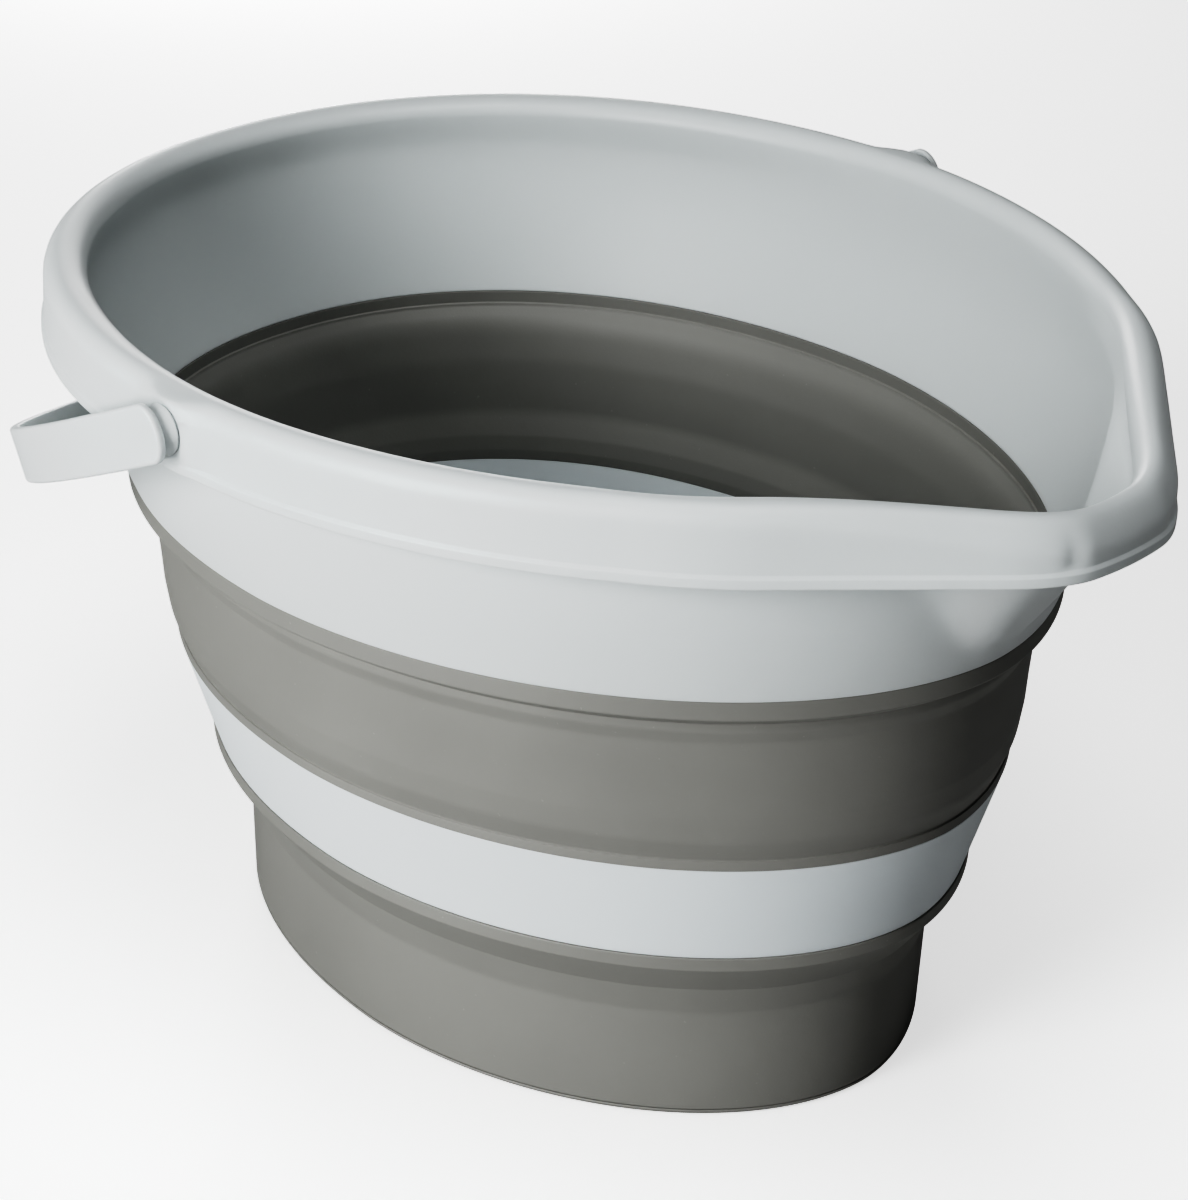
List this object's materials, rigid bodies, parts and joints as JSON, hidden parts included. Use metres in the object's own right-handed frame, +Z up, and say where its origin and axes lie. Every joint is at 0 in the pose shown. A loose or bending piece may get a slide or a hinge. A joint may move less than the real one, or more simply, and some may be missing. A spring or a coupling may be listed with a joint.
{
  "type": "collapsible bucket",
  "caption": "Oval collapsible bucket with a rolled rim, a pouring spout, soft grey folding bands between rigid plastic rings, and a swinging strap bail.",
  "frame": {"origin": "middle of the flat underside, straight below the line of the bail's two pivots", "axes": "+Z up out of the mouth, +X towards the pouring spout, the bail's pivots on the Y axis"},
  "size_m": [0.3594, 0.2902, 0.2156],
  "materials": {
    "rim_collar": "satin, light grey, moulded",
    "upper_fold_band": "matte, warm grey",
    "middle_ring": "satin, white, moulded",
    "lower_fold_band": "matte, warm grey",
    "base_foot": "matte, warm grey",
    "base_plate": "satin, light grey, moulded",
    "handle_bail": "satin, light grey, moulded"
  },
  "bodies": {
    "base": {"base_plate": "base_plate", "base_foot": "base_foot", "lower_fold_band": "lower_fold_band"},
    "ring": {"middle_ring": "middle_ring", "upper_fold_band": "upper_fold_band"},
    "collar": {"rim_collar": "rim_collar"},
    "bail": {"handle_bail": "handle_bail"}
  },
  "joints": [
    {"name": "lower_fold", "type": "slide", "parent": "base", "child": "ring", "axis": [0, 0, -1], "range_m": [0, 0.058], "deforming": ["lower_fold_band"]},
    {"name": "upper_fold", "type": "slide", "parent": "ring", "child": "collar", "axis": [0, 0, -1], "range_m": [0, 0.088], "deforming": ["upper_fold_band"]},
    {"name": "handle_swing", "type": "hinge", "parent": "collar", "child": "bail", "pos_m": [-0.0019, 0, 0.2067], "axis": [0, 1, 0], "range_deg": [-6, 198]}
  ]
}
